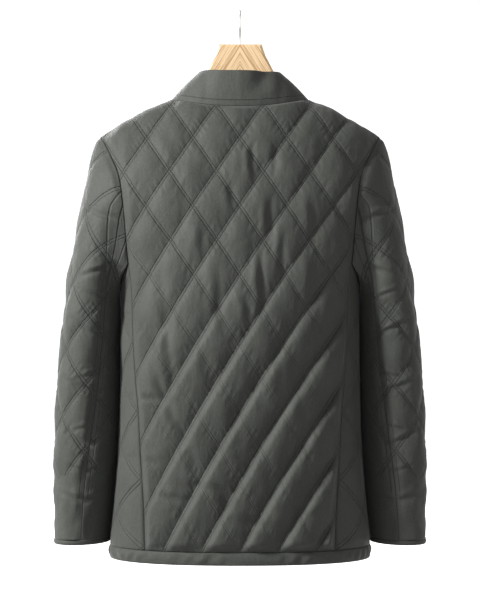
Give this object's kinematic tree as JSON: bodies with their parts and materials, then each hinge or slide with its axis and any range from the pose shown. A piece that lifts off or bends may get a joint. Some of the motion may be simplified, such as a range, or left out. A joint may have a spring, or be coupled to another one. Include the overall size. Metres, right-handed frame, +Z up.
{
  "type": "quilted jacket on a hanger",
  "caption": "Hip-length jacket with diamond quilting, a plain stand collar and a full zip, filled out on a wooden hanger with a steel hook.",
  "frame": {"origin": "inside top of the hanger's hook bend, where a rail holds it", "axes": "+Z up, -Y out of the jacket's front, +X towards the wearer's left"},
  "size_m": [0.5898, 0.2466, 0.8615],
  "materials": {
    "quilted_shell": "matt woven nylon over padding, diamond quilted",
    "plain_shell": "matt woven nylon, plain",
    "zip_tape": "woven tape with moulded teeth",
    "zip_metal": "dark plated",
    "wood": "clear satin lacquer",
    "steel": "plated wire"
  },
  "bodies": {
    "jacket": {"back_panel": "quilted_shell", "front_left": "quilted_shell", "front_right": "quilted_shell", "side_panel_left": "quilted_shell", "side_panel_right": "quilted_shell", "sleeve_top_left": "quilted_shell", "sleeve_top_right": "quilted_shell", "sleeve_under_left": "quilted_shell", "sleeve_under_right": "quilted_shell", "cuff_edge_left": "plain_shell", "cuff_edge_right": "plain_shell", "collar": "plain_shell", "hem_band": "plain_shell", "zip_left": "zip_tape", "zip_right": "zip_tape", "zip_slider": "zip_metal", "hanger": "wood", "hanger_hook": "steel"},
    "pull": {"zip_pull": "zip_metal"}
  },
  "joints": [
    {"name": "pull_swing", "type": "hinge", "parent": "jacket", "child": "pull", "pos_m": [0, -0.08293, -0.18312], "axis": [-1, 0, 0], "range_deg": [0, 150]}
  ]
}
